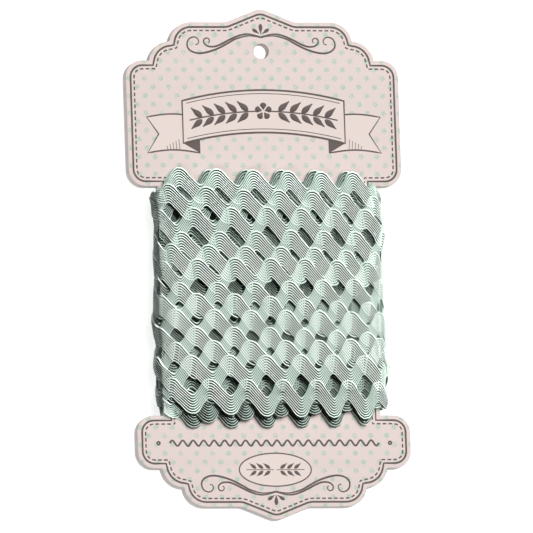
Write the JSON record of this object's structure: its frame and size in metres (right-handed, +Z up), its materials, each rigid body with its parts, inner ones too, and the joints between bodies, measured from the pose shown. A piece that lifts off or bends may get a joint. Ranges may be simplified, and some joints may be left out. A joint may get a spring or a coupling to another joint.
{
  "type": "ric rac trim on display card",
  "caption": "Wavy ric rac braid wound flat, in lapped turns, round the waist of a die-cut display card with a stepped crest at each end and a hang hole.",
  "frame": {"origin": "centre of the bounding box's base, under the middle of the card, on the surface it lies on", "axes": "+X across the card, +Y along the card towards the hang hole, +Z up out of the printed face"},
  "size_m": [0.118, 0.2164, 0.0186],
  "materials": {
    "card": "matt printed board",
    "braid": "ribbed woven cotton"
  },
  "bodies": {
    "root": {"card": "card", "winding": "braid"}
  },
  "joints": []
}
